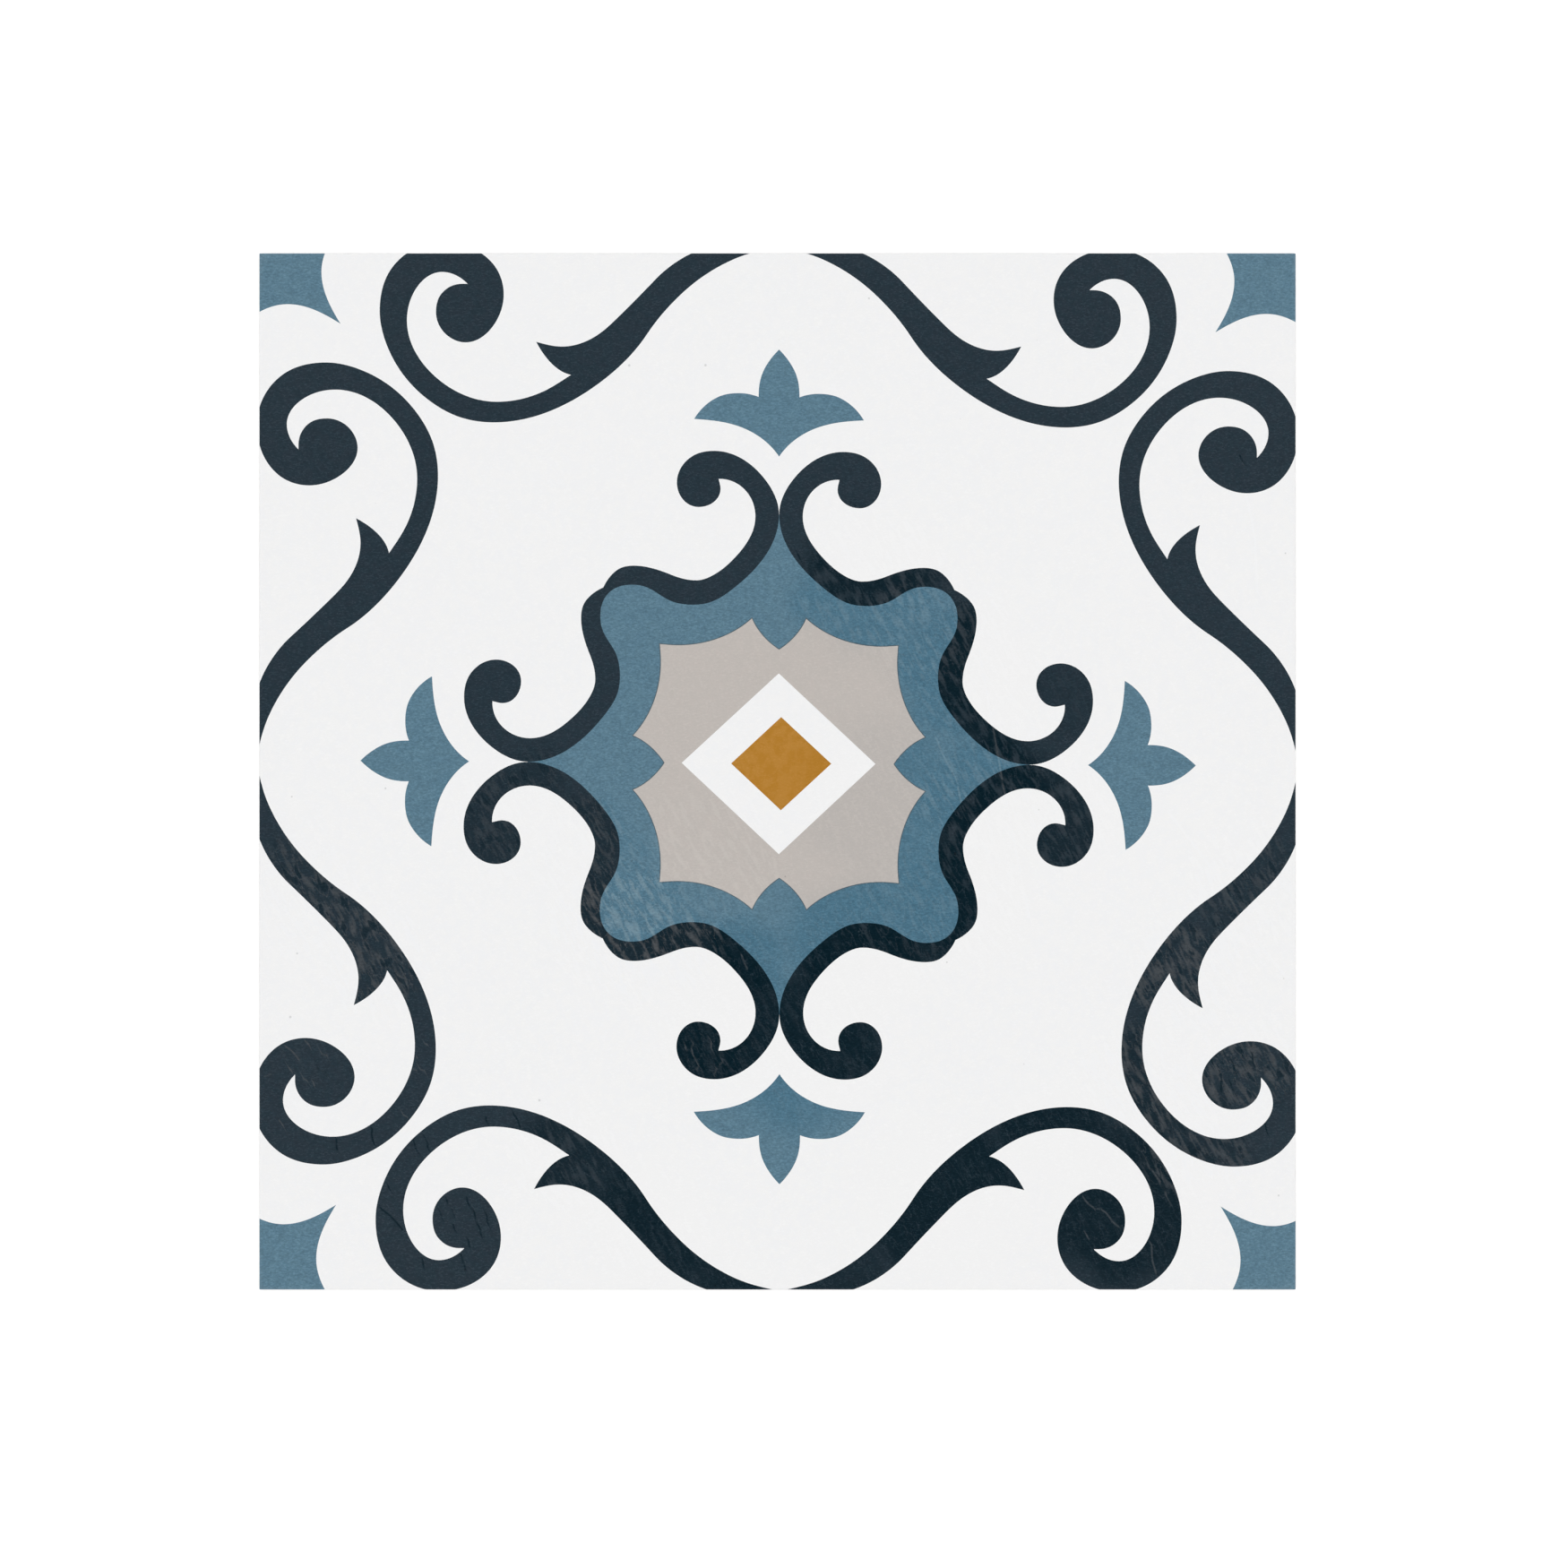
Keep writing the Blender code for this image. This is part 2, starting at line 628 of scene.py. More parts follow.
def printed_shapes(settings):
    """The ornament's outlines in millimetres from its middle, with their inks, in the order of printing."""
    step = settings.outline_step / MM
    field_edge = stroke(BLUE_FIELD_EDGE, step)
    star = all_round(stroke(STAR_EDGE, step))
    fleuron_half = stroke(FLEURON_HALF, step)
    fleuron = fleuron_half + [Vector((p.x, -p.y)) for p in reversed(fleuron_half)]
    corner_half = stroke(CORNER_HALF, step)
    corner = swapped(corner_half) + corner_half + [Vector(BEYOND_TILE)]
    scroll = field_edge + stroke(SCROLL_OUTSIDE, step)
    shapes = [("slate_blue", all_round(field_edge))]
    shapes += [("slate_blue", outline) for outline in four(fleuron) + four(corner)]
    shapes += [("overlap", widened(star, settings.overlap_width / MM)), ("warm_grey", star)]
    shapes.append(("ground", [Vector(point) for point in WHITE_LOZENGE]))
    shapes.append(("ochre", [Vector(point) for point in OCHRE_LOZENGE]))
    shapes = [(ink, anticlockwise(closed(outline))) for ink, outline in shapes]
    spread = settings.navy_spread / MM
    for outline in eight(scroll) + eight(stroke(VINE, step)):
        shapes.append(("navy", widened(anticlockwise(closed(outline)), spread)))
    return shapes


def on_tile(point, settings):
    """Where a point of the drawing comes to lie, in millimetres from the middle of the tile."""
    # How the creep falls off with the distance along its own way, and grows with the distance across it.
    own_hold = 1.1
    cross_give = 0.6

    u = point.x / 100
    v = point.y / 100
    bend = (u * v, u * u, v * v)
    x = settings.centre[0] / MM + point.x * settings.stretch[0] + point.y * settings.skew[0]
    y = settings.centre[1] / MM + point.y * settings.stretch[1] + point.x * settings.skew[1]
    x += sum(share * shift / MM for share, shift in zip(bend, settings.draw_x))
    y += sum(share * shift / MM for share, shift in zip(bend, settings.draw_y))
    x += settings.creep / MM * u * (1 - own_hold * u * u + cross_give * v * v)
    y -= settings.creep / MM * v * (1 - own_hold * v * v + cross_give * u * u)
    return Vector((x, y))


def plan_outline(inset):
    """The tile's outline seen from above, moved in by a distance, anticlockwise."""
    radius = max(CORNER_RADIUS - inset, 0.0)
    middle = Vector((1, 1)) * (SHEET_HALF - inset - radius)
    steps = CORNER_STEPS if radius > 0 else 1
    bend = [middle + radius * heading(math.pi / 2 * index / steps) for index in range(steps + 1)]
    return closed([point for corner in four(bend) for point in corner])


def rim_distance(x, y):
    """How far a point of the plan lies inside the tile's outline."""
    across = abs(x) - SHEET_HALF + CORNER_RADIUS
    along = abs(y) - SHEET_HALF + CORNER_RADIUS
    if across > 0 and along > 0:
        return CORNER_RADIUS - math.hypot(across, along)
    return CORNER_RADIUS - max(across, along)


def eased(low, high, value):
    """How far a value has come from low to high, from 0 to 1, with a soft start and end."""
    share = min(max((value - low) / (high - low), 0.0), 1.0)
    return share * share * (3 - 2 * share)


def waver(x, y, level):
    """A smooth random value between -1 and 1, which changes over about one unit of x and of y."""
    return noise.noise(Vector((x, y, level)))


def marked(lines):
    """Points close together along each line, each with the direction square to the line there."""
    points = []
    for line in lines:
        for start, end in zip(line[:-1], line[1:]):
            run = Vector(end) - Vector(start)
            steps = max(2, round(run.length / MARK_STEP))
            square = Vector((-run.y, run.x)).normalized()
            points += [(Vector(start) + run * index / steps, square) for index in range(steps + 1)]
    return points


def lookup(lines):
    """A tree that finds how far a point lies from the nearest of the lines."""
    points = marked(lines)
    tree = kdtree.KDTree(len(points))
    for index, (point, _) in enumerate(points):
        tree.insert(point.to_3d(), index)
    tree.balance()
    return tree


def mark_at(tree, x, y, reach):
    """How much of the nearest line's mark a point has, from 0 to 1, the mark fading out over its reach."""
    return eased(reach, MARK_CORE, tree.find((x, y, 0.0))[2])


class Slate:
    """The relief of the face, and the painted sheen, highlights and shade that go with it over the inks."""

    def __init__(self, settings):
        # Turns a point of the tile so that its x runs across the slate's ridges and its y along them.
        self.turn = Matrix.Rotation(-settings.lean, 2)
        self.across = settings.ridge_spacing / MM
        self.along = settings.ridge_length / MM
        self.creases = lookup(CREASES)
        self.nicks = lookup(NICKS)
        self.flecks = lookup(FLECKS)

    def state(self, x, y):
        """How deep the press bit at a point, how far the ink's painted sheen is left off and how strong the
        painted highlight on the ridges is, from 0 to 1.
        """
        # How deep the press bit between the patches, up to what share of its radius a patch is at its full
        # strength, and how far its border strays, in millimetres.
        faint = 0.10
        full_share = 0.6
        border_stray = 5.0

        found = [faint + faint * waver(x / 30, y / 30, 7.0), 0.0, 0.0]
        stray = border_stray * waver(x / 12, y / 12, 23.0)
        for middle_x, middle_y, radius, *most in PATCHES:
            away = math.hypot(x - middle_x, y - middle_y) + stray
            if away < radius:
                share = eased(radius, radius * full_share, away)
                found = [max(value, share * strength) for value, strength in zip(found, most)]
        return found

    def ridge(self, x, y, strength):
        """The height of the slate at a point, from 0 to 1, ridges being wider where it is pressed deeper."""
        p = self.turn @ Vector((x, y))
        sway = 0.8 * waver(p.x / 9, p.y / 9, 3.0)
        wave = waver((p.x / self.across + sway) * 1.2, p.y / self.along * 1.5, 11.0)
        wave += 0.5 * waver(p.x / self.across * 2.3 + sway, p.y / self.along * 3.5, 19.0)
        foot = 0.16 - 0.15 * strength
        crest = 0.36 - 0.14 * strength
        return eased(foot, crest, wave)

    def at(self, x, y):
        """How deep a point lies, as a share of the relief's depth, how far it shows the painted highlight,
        how far its painted sheen is left off, and how strong the highlight is.
        """
        fold_lift = 0.2
        nick_depth = 0.5
        fleck_paleness = 0.8
        strength, sheenless, painted_glint = self.state(x, y)
        ridge = self.ridge(x, y, strength)
        # A crease is raised and given the painted highlight, a nick is sunk and painted dark with its sheen
        # left off, and a fleck is painted pale in the highlight colour.
        crease = mark_at(self.creases, x, y, MARK_REACH)
        nick = mark_at(self.nicks, x, y, MARK_REACH)
        fleck = fleck_paleness * mark_at(self.flecks, x, y, FLECK_REACH)
        sunk = (1 - max(ridge, crease)) * strength - fold_lift * crease + nick_depth * nick
        shown = max(ridge * min(1.3 * strength, 1.0), crease, fleck) * (1 - nick)
        return sunk, (shown, max(sheenless, nick), max(painted_glint, 0.5 * crease, fleck))


def sheet_plan(settings, slate):
    """Divides the tile's plan along the borders of the inks, and gives its points and inked triangles.

    The points between the outlines stand in rows along the slate's ridges, so that the triangles do too.
    """
    # In millimetres: the rows, how far their points stray, and where points start inside the rim.
    row_gap = 0.42
    row_step = 2.4
    gap_stray = 0.06
    step_stray = 0.4
    rim_margin = 0.8

    # In millimetres: the points beside a mark's line and beyond its ends, and how near points become one.
    beside = 0.45
    beyond = 0.5
    too_near = 0.0004

    # How many times longer along the ridges than across them the triangles come out, and how deep the press
    # bit where every point of the rows is worth keeping, instead of one in four.
    squeeze = 6.0
    worth_all = 0.3

    points = []
    loops = []

    def add(outline):
        loops.append(list(range(len(points), len(points) + len(outline))))
        points.extend(outline)

    add(plan_outline(0.0))
    inks = ["ground"]
    for ink, outline in printed_shapes(settings):
        add([on_tile(point, settings) for point in outline])
        inks.append(ink)
    shapes = len(loops)
    for index in range(1, FACE_ROLL_STEPS + 1):
        add(plan_outline(FACE_ROLL * (1 - math.cos(math.pi / 2 * index / FACE_ROLL_STEPS))))
    rims = [(loop[i - 1], loop[i]) for loop in loops[shapes:] for i in range(len(loop))]

    scatter = random.Random(5)
    past_corners = SHEET_HALF * 1.5
    rows = int(past_corners / row_gap)
    places = int(past_corners / row_step)
    back = slate.turn.inverted()
    for row in range(-rows, rows + 1):
        for place in range(-places, places + 1):
            across = row * row_gap + scatter.uniform(-gap_stray, gap_stray)
            along = (place + row % 2 / 2) * row_step + scatter.uniform(-step_stray, step_stray)
            point = back @ Vector((across, along))
            if rim_distance(point.x, point.y) < rim_margin:
                continue
            if row % 2 == place % 2 == 0 or slate.state(point.x, point.y)[0] > worth_all:
                points.append(point)
    for point, square in marked(MARKS):
        points += [point, point + beside * square, point - beside * square]
    for line in MARKS:
        for end, inner in ((line[0], line[1]), (line[-1], line[-2])):
            points.append(Vector(end) + beyond * (Vector(end) - Vector(inner)).normalized())

    laid = [slate.turn @ point for point in points]
    laid = [Vector((point.x, point.y / squeeze)) for point in laid]
    placed, _, triangles, _, _, sources = delaunay_2d_cdt(laid, rims, loops[:shapes], 1, too_near, True)
    placed = [back @ Vector((point.x, point.y * squeeze)) for point in placed]
    kept = [(triangle, inks[max(over)]) for triangle, over in zip(triangles, sources) if 0 in over]
    return placed, kept


def skin(bm, settings, relief):
    """The printed face: the divided plan, raised to the level of the face and rolled over at its rim."""
    slate = Slate(relief)
    # The slate attribute holds how far each point shows the painted highlight on the ridges, how far its
    # painted sheen is left off, and how strong the highlight is.
    slate_layer = bm.verts.layers.float_vector.new("slate")
    points, triangles = sheet_plan(settings, slate)
    corners = {}
    for triangle, ink in triangles:
        for index in triangle:
            if index in corners:
                continue
            x, y = points[index]
            inside = max(rim_distance(x, y), 0.0)
            sunk, shown = slate.at(x, y)
            share = eased(FACE_ROLL, RELIEF_MARGIN, inside)
            height = SHEET_TOP - max(sunk, 0.0) * relief.depth / MM * share
            if inside < FACE_ROLL:
                height -= FACE_ROLL - math.sqrt(FACE_ROLL**2 - (FACE_ROLL - inside) ** 2)
            corner = bm.verts.new((x * MM, y * MM, height * MM))
            corner[slate_layer] = shown
            corners[index] = corner
        face = bm.faces.new([corners[index] for index in triangle])
        face.material_index = INKS.index(ink)
        face.smooth = True


def wall_and_back(bm):
    """Draws the rim down to the back, turns its arris in and closes the back."""
    rim = [edge for edge in bm.edges if edge.is_boundary]
    for level, inset in ((BACK_ARRIS, 0.0), (0.0, BACK_ARRIS)):
        drawn = bmesh.ops.extrude_edge_only(bm, edges=rim)["geom"]
        rim = [item for item in drawn if isinstance(item, bmesh.types.BMEdge) and item.is_boundary]
        for corner in {vertex for edge in rim for vertex in edge.verts}:
            corner.co.z = level * MM
            corner.co.x *= 1 - inset / SHEET_HALF
            corner.co.y *= 1 - inset / SHEET_HALF
        for item in drawn:
            if isinstance(item, bmesh.types.BMFace):
                item.material_index = CUT_EDGE
                item.smooth = True
        for edge in rim:
            edge.smooth = False
    bmesh.ops.edgeloop_fill(bm, edges=rim, mat_nr=FLAT_BACK)
    bmesh.ops.recalc_face_normals(bm, faces=bm.faces)
    bm.normal_update()


def lay_out(bm):
    """The map that patterns are baked through: the face, the back beside it and the cut edges above it."""
    layer = bm.loops.layers.uv.new("OFBake")
    margin = 0.006
    face_share = 0.86
    past_face = 0.88
    back_share = 0.11
    strip_pitch = 0.02
    strip_share = 0.012
    # A little over an eighth, so that the middle face of a corner lies clearly on one of its two sides.
    over_eighth_turn = math.radians(46)
    span = 2 * SHEET_HALF * MM
    for face in bm.faces:
        facing = math.atan2(face.normal.y, face.normal.x)
        side = math.floor((facing + over_eighth_turn) / (math.pi / 2)) % 4
        for loop in face.loops:
            x, y, z = loop.vert.co
            u = x / span + 0.5
            v = y / span + 0.5
            if face.material_index == CUT_EDGE:
                u = v if side % 2 == 0 else u
                strip = past_face + strip_pitch * side
                place = (margin + face_share * u, strip + strip_share * z / (SHEET_TOP * MM))
            elif face.material_index == FLAT_BACK:
                place = (past_face + back_share * u, margin + face_share * v)
            else:
                place = (margin + face_share * u, margin + face_share * v)
            loop[layer].uv = place


def put(tree, kind, inputs=None, **settings):
    """Adds a node with these settings, its inputs given a value each or linked to another node's output."""
    made = tree.nodes.new("ShaderNode" + kind)
    for name, value in settings.items():
        setattr(made, name, value)
    for key, value in (inputs or {}).items():
        if isinstance(value, bpy.types.NodeSocket):
            tree.links.new(value, made.inputs[key])
        else:
            made.inputs[key].default_value = value
    return made


def reckon(tree, operation, *values):
    """The result of a Math node."""
    return put(tree, "Math", dict(enumerate(values)), operation=operation).outputs[0]


def ramp(tree, value, low, high, low_gives=0.0, high_gives=1.0):
    """A value carried from one range into another, with soft ends."""
    limits = {"Value": value, "From Min": low, "From Max": high, "To Min": low_gives, "To Max": high_gives}
    return put(tree, "MapRange", limits, interpolation_type="SMOOTHSTEP").outputs["Result"]


def blend(tree, share, first, second):
    """A colour, a share of the way from the first to the second."""
    return put(tree, "Mix", {0: share, 6: first, 7: second}, data_type="RGBA").outputs[2]


def cloud(tree, position, scale, detail=2.0, rough=0.5):
    """A noise pattern from 0 to 1, its scale in cycles for each metre along X, Y and Z."""
    scaled = put(tree, "VectorMath", {0: position, 1: scale}, operation="MULTIPLY").outputs[0]
    given = {"Vector": scaled, "Scale": 1.0, "Detail": detail, "Roughness": rough}
    return put(tree, "TexNoise", given).outputs[0]


def new_group(name, takes, gives):
    """A node group with these inputs, each with its kind and value, and outputs, each with its kind."""
    tree = bpy.data.node_groups.new(name, "ShaderNodeTree")
    for label, kind, value in takes:
        socket = tree.interface.new_socket(label, in_out="INPUT", socket_type="NodeSocket" + kind)
        if value is not None:
            socket.default_value = value
    for label, kind in gives:
        tree.interface.new_socket(label, in_out="OUTPUT", socket_type="NodeSocket" + kind)
    enter = tree.nodes.new("NodeGroupInput").outputs
    leave = tree.nodes.new("NodeGroupOutput").inputs
    return tree, enter, leave


def speck_group():
    """Sparse specks, such as dust in the film or filler in the vinyl."""
    takes = (
        ("Position", "Vector", None),
        ("Spacing", "Float", 0.02),
        ("Size", "Float", 0.0003),
        ("Share", "Float", 0.2),
    )
    tree, enter, leave = new_group("sparse specks", takes, (("Mask", "Float"),))
    scale = reckon(tree, "DIVIDE", 1.0, enter["Spacing"])
    given = {"Vector": enter["Position"], "Scale": scale}
    cells = put(tree, "TexVoronoi", given, voronoi_dimensions="2D").outputs
    draws = put(tree, "SeparateColor", {0: cells["Color"]}).outputs
    away = reckon(tree, "MULTIPLY", cells["Distance"], enter["Spacing"])
    size = reckon(tree, "MULTIPLY", enter["Size"], draws[1])
    near = reckon(tree, "SUBTRACT", 1.0, reckon(tree, "DIVIDE", away, size))
    chosen = reckon(tree, "LESS_THAN", draws[0], enter["Share"])
    tree.links.new(reckon(tree, "MULTIPLY", ramp(tree, near, 0.0, 0.6), chosen), leave["Mask"])
    return tree


def film_group(specks, relief):
    """Ink on the film under the embossed wear layer, with the relief's sheen, highlights and shade painted
    into its colour.
    """
    takes = (
        ("Position", "Vector", None),
        ("Ink", "Color", None),
        ("Mottled Ink", "Color", None),
        ("Mottle", "Float", 0.5),
        ("Ink Without Sheen", "Color", None),
        ("Painted Highlight Ink", "Color", None),
        ("Grain", "Float", 0.05),
        ("Specks", "Float", 0.3),
    )
    gives = (("Color", "Color"), ("Roughness", "Float"), ("Height", "Float"))
    tree, enter, leave = new_group("printed film", takes, gives)
    position = enter["Position"]
    grain = reckon(tree, "SUBTRACT", cloud(tree, position, (1250, 2500, 1000), 3.0, 0.65), 0.5)
    mottle = ramp(tree, cloud(tree, position, (420, 420, 420)), 0.4, 0.6)
    mottled = reckon(tree, "MULTIPLY", mottle, enter["Mottle"])
    inked = blend(tree, mottled, enter["Ink"], enter["Mottled Ink"])

    # From the mesh: where the ridges show the painted highlight, how far the painted sheen is left off, and
    # how strong the highlight is.
    slate = put(tree, "Attribute", attribute_name="slate").outputs["Vector"]
    ridge, sheenless, painted_glint = put(tree, "SeparateXYZ", {0: slate}).outputs
    along_grain = put(tree, "Mapping", {0: position, "Rotation": (0.0, 0.0, -relief.lean)}).outputs[0]
    # Pits and the thin rims round them: the pits are painted dark as shade and the rims pale as a highlight,
    # as if the relief were lit from one side.
    bites = cloud(tree, along_grain, (540, 165, 0), 3.0)
    pressed = ramp(tree, reckon(tree, "ADD", sheenless, painted_glint), 0.1, 0.6)
    pits = reckon(tree, "MULTIPLY", ramp(tree, bites, 0.38, 0.43, 1.0, 0.0), pressed)
    from_rim = reckon(tree, "ABSOLUTE", reckon(tree, "SUBTRACT", bites, 0.46))
    rims = reckon(tree, "MULTIPLY", ramp(tree, from_rim, 0.0, 0.022, 0.8, 0.0), pressed)

    # In blotches where the sheen is left off, and in the pits, the ink takes its darker colour, without the
    # sheen that is painted into the plain ink.
    blotches = ramp(tree, cloud(tree, position, (700, 700, 700), 2.0, 0.6), 0.35, 0.55, 0.95, 1.0)
    uneven = reckon(tree, "MULTIPLY", sheenless, blotches)
    sheenless_share = reckon(tree, "MAXIMUM", uneven, reckon(tree, "MULTIPLY", pits, 0.6))
    sheenless_ink = blend(tree, sheenless_share, inked, enter["Ink Without Sheen"])
    # Painted highlight: the ridges and the rims take the paler ink, broken up by noise.
    crest = blend(tree, painted_glint, inked, enter["Painted Highlight Ink"])
    glint_breakup = ramp(tree, cloud(tree, position, (1300, 1300, 1300)), 0.35, 0.6, 0.65, 1.0)
    raised = reckon(tree, "MAXIMUM", reckon(tree, "MULTIPLY", ridge, glint_breakup), rims)
    raised = reckon(tree, "MULTIPLY", raised, reckon(tree, "SUBTRACT", 1.0, pits))
    looks = blend(tree, raised, sheenless_ink, crest)

    spread = {"Position": position, "Spacing": 0.024, "Size": 0.0005, "Share": 0.25}
    dots = put(tree, "Group", spread, node_tree=specks).outputs[0]
    shade = reckon(tree, "MULTIPLY_ADD", grain, enter["Grain"], 1.0)
    shade = reckon(tree, "SUBTRACT", shade, reckon(tree, "MULTIPLY", dots, enter["Specks"]))
    shaded = put(tree, "VectorMath", {0: looks, "Scale": shade}, operation="SCALE").outputs[0]
    tree.links.new(shaded, leave["Color"])

    dull = reckon(tree, "MULTIPLY_ADD", grain, 0.25, relief.roughness)
    tree.links.new(reckon(tree, "MULTIPLY_ADD", ridge, 0.1, dull), leave["Roughness"])
    grit = reckon(tree, "MULTIPLY", cloud(tree, position, (1800, 1800, 1800)), 0.003 * MM)
    broad = reckon(tree, "MULTIPLY", cloud(tree, position, (260, 260, 260), 1.0), 0.008 * MM)
    tree.links.new(reckon(tree, "ADD", grit, broad), leave["Height"])
    return tree


def new_material(name):
    """A material with its shader, its node tree and Object coordinates."""
    material = bpy.data.materials.new(name)
    material.use_nodes = True
    tree = material.node_tree
    shader = tree.nodes["Principled BSDF"]
    return material, tree, shader, put(tree, "TexCoord").outputs["Object"]


def raise_surface(tree, shader, height):
    """Links a height in metres to the shader's normal."""
    bump = put(tree, "Bump", {"Strength": 1.0, "Distance": 1.0, "Height": height})
    tree.links.new(bump.outputs["Normal"], shader.inputs["Normal"])


def ink_material(name, film, ink, mottled, mottle, sheenless, painted_glint, grain, specks=0.3):
    """One ink of the print under the wear layer, plain or mottled, darker where its painted sheen is left
    off and paler as a painted highlight on the ridges.
    """
    material, tree, shader, position = new_material(name)
    given = {
        "Position": position,
        "Ink": (*ink, 1.0),
        "Mottled Ink": (*mottled, 1.0),
        "Mottle": mottle,
        "Ink Without Sheen": (*sheenless, 1.0),
        "Painted Highlight Ink": (*painted_glint, 1.0),
        "Grain": grain,
        "Specks": specks,
    }
    looks = put(tree, "Group", given, node_tree=film).outputs
    tree.links.new(looks["Color"], shader.inputs["Base Color"])
    tree.links.new(looks["Roughness"], shader.inputs["Roughness"])
    shader.inputs["Specular IOR Level"].default_value = 0.25
    raise_surface(tree, shader, looks["Height"])
    return material


def darkened(colour, share):
    """A colour, a share of the way to black."""
    return tuple(value - value * share for value in colour)


def edge_material(settings):
    """The sheet's cut edge: filled vinyl, and the film and wear layer as thin bands above it."""
    material, tree, shader, position = new_material("cut_edge")
    level = put(tree, "SeparateXYZ", {0: position}).outputs["Z"]
    torn = cloud(tree, position, (2600, 2600, 400), 3.0, 0.6)
    core = blend(tree, torn, (*darkened(settings.core, 0.18), 1.0), (*settings.core, 1.0))
    film_wave = 0.06 * MM
    film_blur = 0.05 * MM
    wavy = reckon(tree, "MULTIPLY_ADD", cloud(tree, position, (300, 300, 0)), film_wave, level)
    film = ramp(tree, wavy, settings.film_height, settings.film_height + film_blur)
    tree.links.new(blend(tree, film, core, (*settings.wear_layer, 1.0)), shader.inputs["Base Color"])
    tree.links.new(ramp(tree, torn, 0.3, 0.7, 0.5, 0.7), shader.inputs["Roughness"])
    raise_surface(tree, shader, reckon(tree, "MULTIPLY", torn, 0.02 * MM))
    return material


def back_material(settings, specks):
    """The calendered back: dull filled vinyl with faint streaks along the way it was rolled."""
    material, tree, shader, position = new_material("flat_back")
    streaks = cloud(tree, position, (25, 900, 1), 3.0, 0.6)
    patches = cloud(tree, position, (40, 40, 1))
    streaked = reckon(tree, "MULTIPLY", streaks, 0.6)
    tone = reckon(tree, "ADD", streaked, reckon(tree, "MULTIPLY", patches, 0.4))
    filler_colour = (0.42, 0.40, 0.37, 1.0)
    dark = (*darkened(settings.backing, 0.12), 1.0)
    light = (*settings.backing, 1.0)
    colour = blend(tree, ramp(tree, tone, 0.35, 0.65), dark, light)
    spread = {"Position": position, "Spacing": 0.004, "Size": 0.0004, "Share": 0.5}
    filler = reckon(tree, "MULTIPLY", put(tree, "Group", spread, node_tree=specks).outputs[0], 0.3)
    tree.links.new(blend(tree, filler, colour, filler_colour), shader.inputs["Base Color"])
    tree.links.new(ramp(tree, streaks, 0.3, 0.7, 0.55, 0.68), shader.inputs["Roughness"])
    raise_surface(tree, shader, reckon(tree, "MULTIPLY", streaks, 0.006 * MM))
    return material


def tile_materials(inks, relief, body):
    """The materials of the tile, in the order of INKS, then the cut edge and the back."""
    specks = speck_group()
    film = film_group(specks, relief)
    # Each ink's darker colour, for where its sheen is left off, stands against the painted sheen in its
    # plain colour, and its paler colour for the ridges is a painted highlight.
    white = srgb(237, 238, 240)
    pale_blue = srgb(114, 140, 153)
    return [
        ink_material(
            "ground_film",
            film,
            ink=inks.ground,
            mottled=white,
            mottle=0.4,
            sheenless=inks.ground,
            painted_glint=white,
            grain=0.015,
            specks=0.25,
        ),
        ink_material(
            "slate_blue_ink",
            film,
            ink=inks.slate_blue,
            mottled=srgb(86, 118, 136),
            mottle=0.6,
            sheenless=srgb(73, 111, 131),
            painted_glint=pale_blue,
            grain=1.2,
        ),
        ink_material(
            "overlap_ink",
            film,
            ink=inks.overlap,
            mottled=inks.overlap,
            mottle=0.0,
            sheenless=srgb(74, 92, 102),
            painted_glint=pale_blue,
            grain=0.3,
        ),
        ink_material(
            "warm_grey_ink",
            film,
            ink=inks.warm_grey,
            mottled=srgb(190, 183, 178),
            mottle=0.6,
            sheenless=srgb(182, 177, 173),
            painted_glint=srgb(202, 198, 192),
            grain=0.2,
        ),
        ink_material(
            "ochre_ink",
            film,
            ink=inks.ochre,
            mottled=srgb(182, 130, 58),
            mottle=0.7,
            sheenless=srgb(172, 119, 40),
            painted_glint=srgb(194, 146, 84),
            grain=0.15,
        ),
        ink_material(
            "navy_ink",
            film,
            ink=inks.navy,
            mottled=srgb(41, 51, 60),
            mottle=0.5,
            sheenless=srgb(0, 25, 35),
            painted_glint=srgb(80, 82, 84),
            grain=1.15,
            specks=0.5,
        ),
        edge_material(body),
        back_material(body, specks),
    ]


class TILE_OT_printed_tile(bpy.types.Operator):
    """Builds the printed tile, one closed sheet with its inks, cut edges and back"""

    bl_idname = "tile.printed_tile"
    bl_label = "Printed Tile"

    def execute(self, context):
        inks = context.scene.tile_print
        relief = context.scene.tile_relief
        body = context.scene.tile_body
        bm = bmesh.new()
        skin(bm, inks, relief)
        wall_and_back(bm)
        lay_out(bm)
        mesh = bpy.data.meshes.new("printed_tile")
        bm.to_mesh(mesh)
        bm.free()
        for material in tile_materials(inks, relief, body):
            mesh.materials.append(material)
        tile = bpy.data.objects.new("printed_tile", mesh)
        context.scene.collection.objects.link(tile)
        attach(tile, "root")
        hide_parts(TILE_NODE)
        return {"FINISHED"}


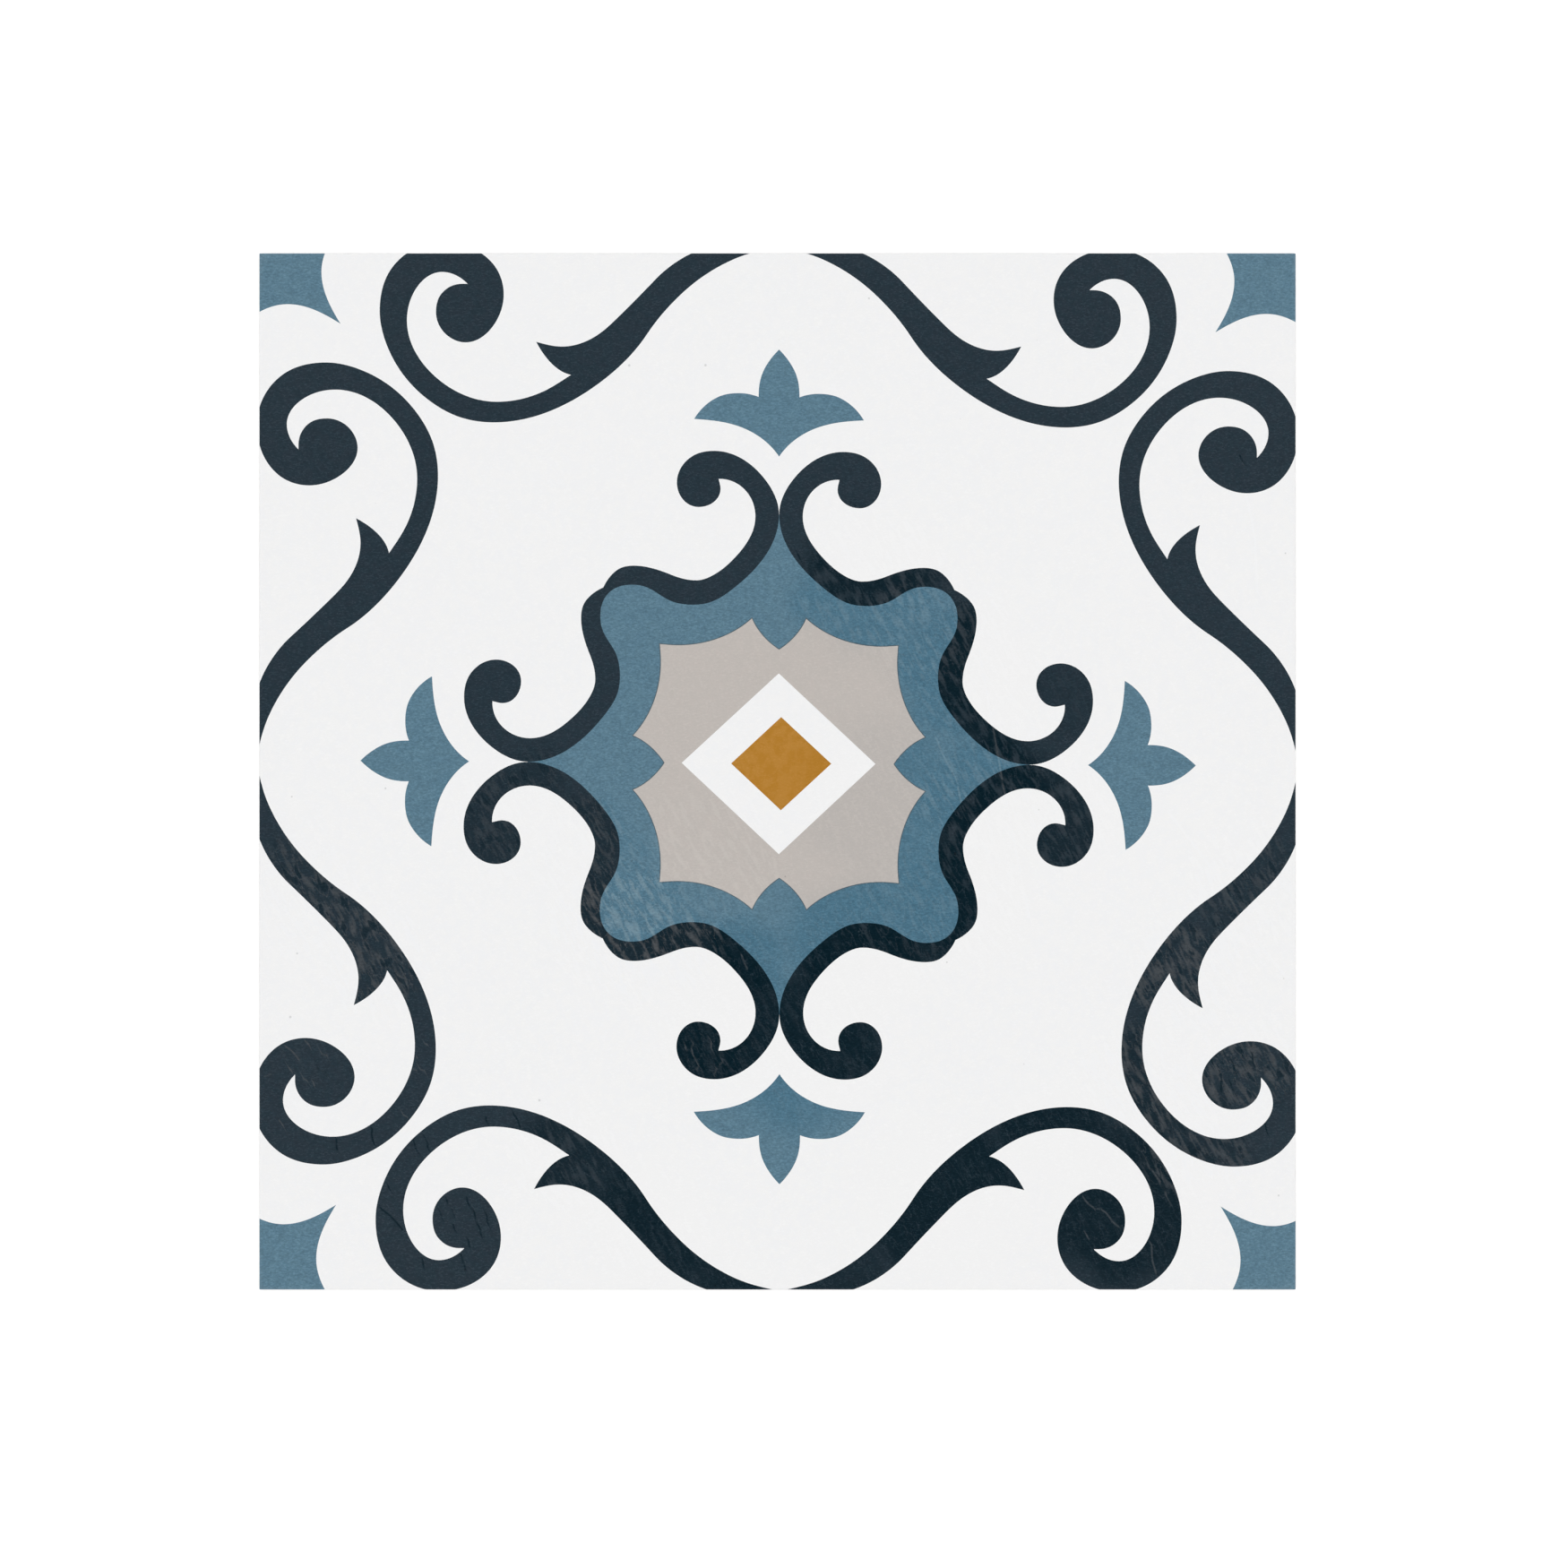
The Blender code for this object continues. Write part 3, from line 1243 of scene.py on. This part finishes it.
class TILE_OT_stage(bpy.types.Operator):
    """Builds the floor, the room light, four softboxes at the sides and the camera straight above"""

    bl_idname = "tile.stage"
    bl_label = "Stage"

    def execute(self, context):
        settings = context.scene.tile_stage
        self.lay_floor(context, settings)
        self.light_room(context, settings)
        self.hang_lamps(context, settings)
        self.set_camera(context, settings)
        context.scene.view_settings.view_transform = "Standard"
        return {"FINISHED"}

    def lay_floor(self, context, settings):
        """A wide pale floor under the tile, which the camera sees as white where no shadow falls."""
        gap = 0.01 * MM
        bm = bmesh.new()
        bmesh.ops.create_grid(bm, x_segments=1, y_segments=1, size=settings.floor_width / 2)
        bmesh.ops.translate(bm, verts=bm.verts, vec=Vector((0.0, 0.0, SHEET_LOW.z - gap)))
        mesh = bpy.data.meshes.new("floor")
        bm.to_mesh(mesh)
        bm.free()
        material, tree, shader, position = new_material("floor_paint")
        mottle = cloud(tree, position, (30, 30, 30))
        darker = (*darkened(settings.floor, 0.02), 1.0)
        tree.links.new(blend(tree, mottle, darker, (*settings.floor, 1.0)), shader.inputs["Base Color"])
        shader.inputs["Roughness"].default_value = 0.9
        shader.inputs["Specular IOR Level"].default_value = 0.0
        shader.inputs["Emission Color"].default_value = (1.0, 1.0, 1.0, 1.0)
        seen = put(tree, "LightPath").outputs["Is Camera Ray"]
        glow = reckon(tree, "MULTIPLY", seen, settings.floor_glow)
        tree.links.new(glow, shader.inputs["Emission Strength"])
        mesh.materials.append(material)
        floor = bpy.data.objects.new("floor", mesh)
        context.scene.collection.objects.link(floor)

    def light_room(self, context, settings):
        """An even dim room that the camera sees as white."""
        world = bpy.data.worlds.new("room")
        world.use_nodes = True
        tree = world.node_tree
        seen = put(tree, "LightPath").outputs["Is Camera Ray"]
        strength = reckon(tree, "MULTIPLY_ADD", seen, 1 - settings.room_light, settings.room_light)
        background = tree.nodes["Background"]
        background.inputs["Color"].default_value = (1.0, 1.0, 1.0, 1.0)
        tree.links.new(strength, background.inputs["Strength"])
        context.scene.world = world

    def hang_lamps(self, context, settings):
        """Four softboxes, too far to the sides to be seen mirrored in the flat of the tile from above."""
        for index in range(4):
            side = settings.lamp_distance * heading(math.radians(45 + 90 * index))
            lamp = bpy.data.lights.new(f"softbox_{index + 1}", "AREA")
            lamp.shape = "SQUARE"
            lamp.size = settings.lamp_size
            lamp.energy = settings.lamp_power
            place = Vector((side.x, side.y, settings.lamp_height))
            stand = bpy.data.objects.new(lamp.name, lamp)
            stand.location = place
            stand.rotation_euler = (-place).to_track_quat("-Z", "Y").to_euler()
            stand.visible_camera = False
            context.scene.collection.objects.link(stand)

    def set_camera(self, context, settings):
        """Straight above the tile, its top edge up in the picture."""
        lens = bpy.data.cameras.new("camera")
        lens.sensor_width = 36.0
        lens.lens = settings.lens
        lens.clip_end = 20.0
        camera = bpy.data.objects.new("camera", lens)
        away = settings.view_width * lens.lens / lens.sensor_width
        camera.location = (settings.aim[0], settings.aim[1], SHEET_HIGH.z + away)
        context.scene.collection.objects.link(camera)
        context.scene.camera = camera


class TILE_PT_panel(bpy.types.Panel):
    """Lists what the add-on builds, with its settings"""

    bl_idname = "TILE_PT_panel"
    bl_label = "Printed Vinyl Tile"
    bl_space_type = "VIEW_3D"
    bl_region_type = "UI"
    bl_category = "Tile"

    def draw(self, context):
        scene = context.scene
        for operator in OPERATORS:
            self.layout.operator(operator.bl_idname)
        for settings in (scene.tile_print, scene.tile_relief, scene.tile_body, scene.tile_stage):
            box = self.layout.box()
            for name in settings.__annotations__:
                box.prop(settings, name)


OPERATORS = (TILE_OT_printed_tile, TILE_OT_stage)
GROUPS = {
    "tile_print": PrintSettings,
    "tile_relief": ReliefSettings,
    "tile_body": BodySettings,
    "tile_stage": StageSettings,
}


def register():
    """Makes the classes known to Blender and hangs the settings on the scene."""
    for made in (*GROUPS.values(), *OPERATORS, TILE_PT_panel):
        bpy.utils.register_class(made)
    for name, group in GROUPS.items():
        setattr(bpy.types.Scene, name, bpy.props.PointerProperty(type=group))


def unregister():
    """Takes the settings and the classes away again."""
    for name in GROUPS:
        delattr(bpy.types.Scene, name)
    for made in reversed((*GROUPS.values(), *OPERATORS, TILE_PT_panel)):
        bpy.utils.unregister_class(made)


def main():
    """Builds the tile and the stage."""
    register()
    bpy.ops.tile.printed_tile()
    bpy.ops.tile.stage()


if __name__ == "__main__":
    main()
